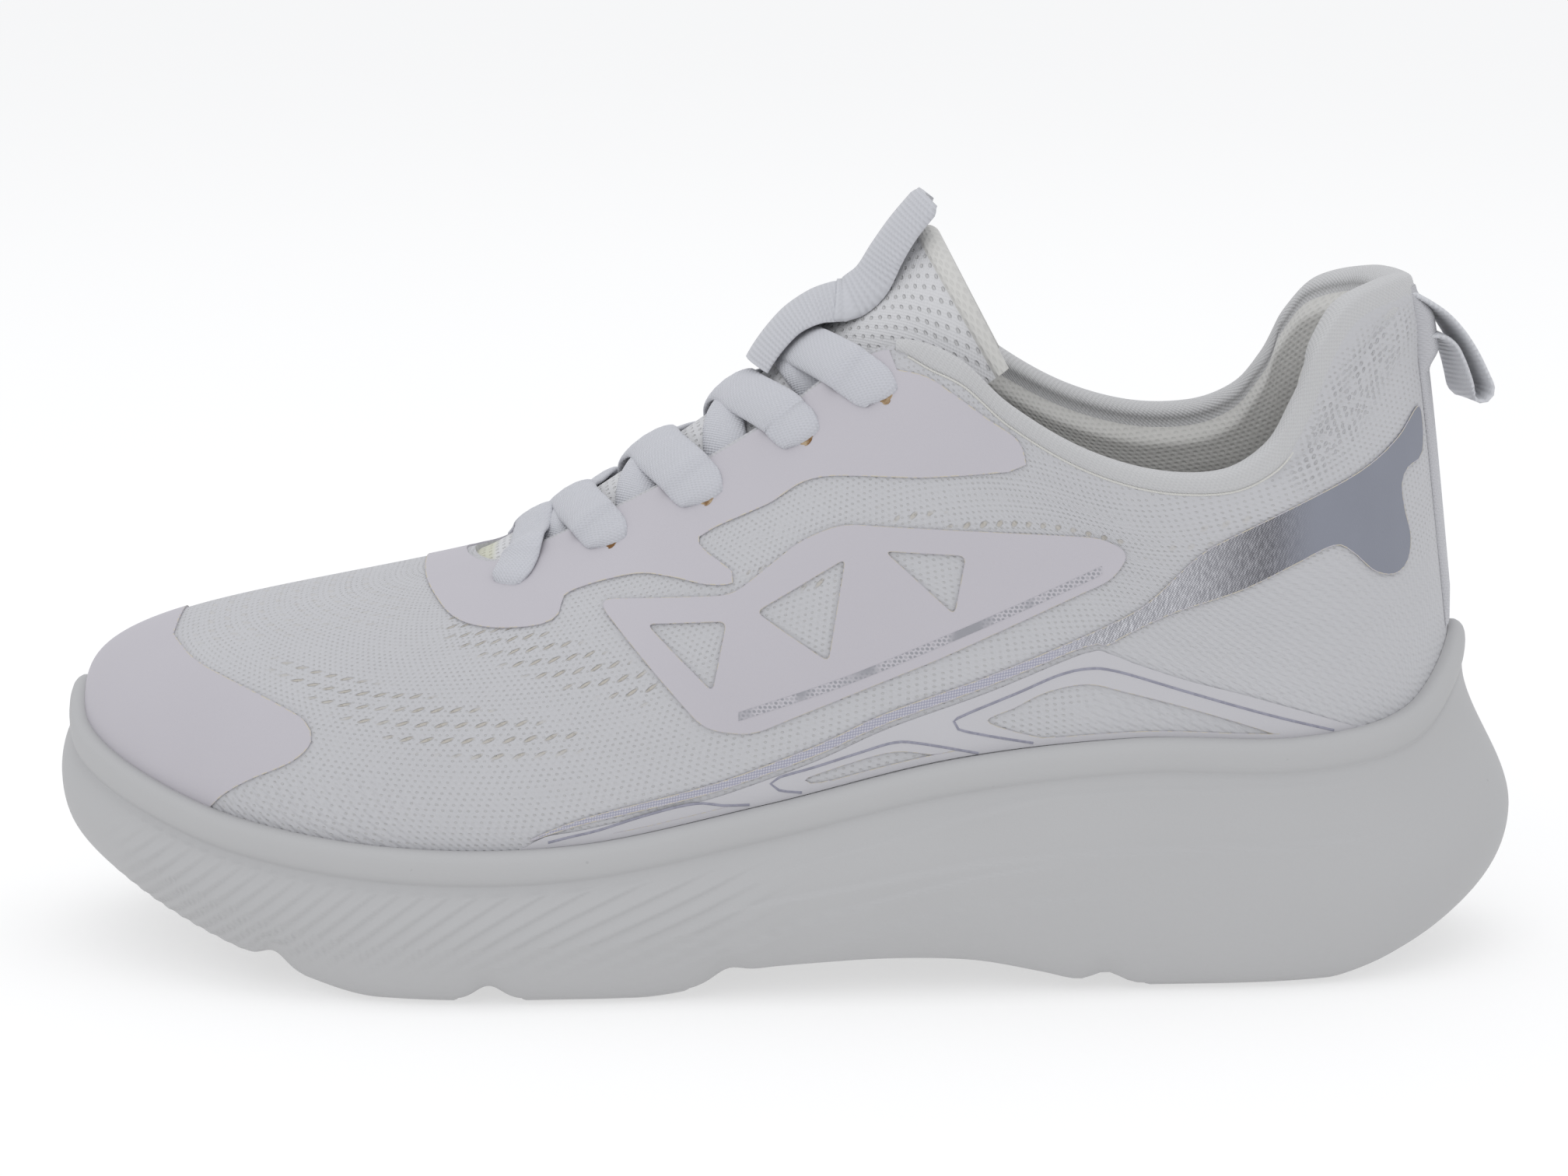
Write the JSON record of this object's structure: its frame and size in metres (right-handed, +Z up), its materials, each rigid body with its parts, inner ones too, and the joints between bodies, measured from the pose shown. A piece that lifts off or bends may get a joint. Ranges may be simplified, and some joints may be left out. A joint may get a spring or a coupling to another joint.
{
  "type": "running shoe",
  "caption": "Cushioned low-cut running shoe for the left foot, with a knitted upper, flat laces, a padded collar, a thick foam sole and rubber outsole pads.",
  "frame": {"origin": "middle of the shoe's length and width, on the ground", "axes": "+X towards the heel, +Y towards the inner (medial) side of the foot, +Z up"},
  "size_m": [0.2703, 0.1013, 0.1402],
  "materials": {
    "foam": "matt moulded foam",
    "outsole_rubber": "matt",
    "board": "non-woven board",
    "insole": "knitted cover on foam",
    "stiffener": "matt",
    "padding": "open foam",
    "lining": "air mesh",
    "tape": "woven",
    "knit": "fine open knit",
    "edge_band": "stitched band",
    "film": "satin film",
    "cage_film": "satin film",
    "silver_foil": "silver foil",
    "webbing": "ribbed webbing",
    "mesh": "mesh with small round holes",
    "lace": "flat woven"
  },
  "bodies": {
    "shoe": {"midsole": "foam", "outsole_toe": "outsole_rubber", "outsole_forefoot_front": "outsole_rubber", "outsole_forefoot_rear": "outsole_rubber", "outsole_heel": "outsole_rubber", "strobel_board": "board", "heel_counter": "stiffener", "toe_puff": "stiffener", "collar_foam": "padding", "collar_lining": "lining", "eyelet_backings": "tape", "knit_upper": "knit", "topline_band": "edge_band", "toe_cap_film": "film", "eyestay_film": "film", "lateral_side_frame": "film", "medial_side_frame": "film", "lateral_cage_film": "cage_film", "medial_cage_film": "cage_film", "lateral_heel_foil": "silver_foil", "medial_heel_foil": "silver_foil", "heel_strip": "webbing", "tongue_face": "mesh", "tongue_padding": "padding", "tongue_lining": "lining", "tongue_webbing": "webbing", "laces": "lace"},
    "tongue_top": {"tongue_top_face": "mesh", "tongue_top_padding": "padding", "tongue_top_lining": "lining"},
    "pull_tab": {"tongue_pull_tab": "webbing"},
    "heel_loop": {"heel_pull_loop": "webbing"},
    "insole": {"sockliner": "insole"}
  },
  "joints": [
    {"name": "tongue_fold", "type": "hinge", "parent": "shoe", "child": "tongue_top", "pos_m": [0.0098, 0, 0.122], "axis": [0, -1, 0], "range_deg": [-12, 25]},
    {"name": "pull_tab_flex", "type": "hinge", "parent": "tongue_top", "child": "pull_tab", "pos_m": [0.0104, 0, 0.1226], "axis": [0, -1, 0], "range_deg": [0, 35]},
    {"name": "heel_loop_lift", "type": "hinge", "parent": "shoe", "child": "heel_loop", "pos_m": [0.1192, 0, 0.1176], "axis": [0, -1, 0], "range_deg": [-8, 65]},
    {"name": "insole_lift", "type": "hinge", "parent": "shoe", "child": "insole", "pos_m": [-0.112, 0, 0.027], "axis": [0, -1, 0], "range_deg": [0, 4]}
  ]
}
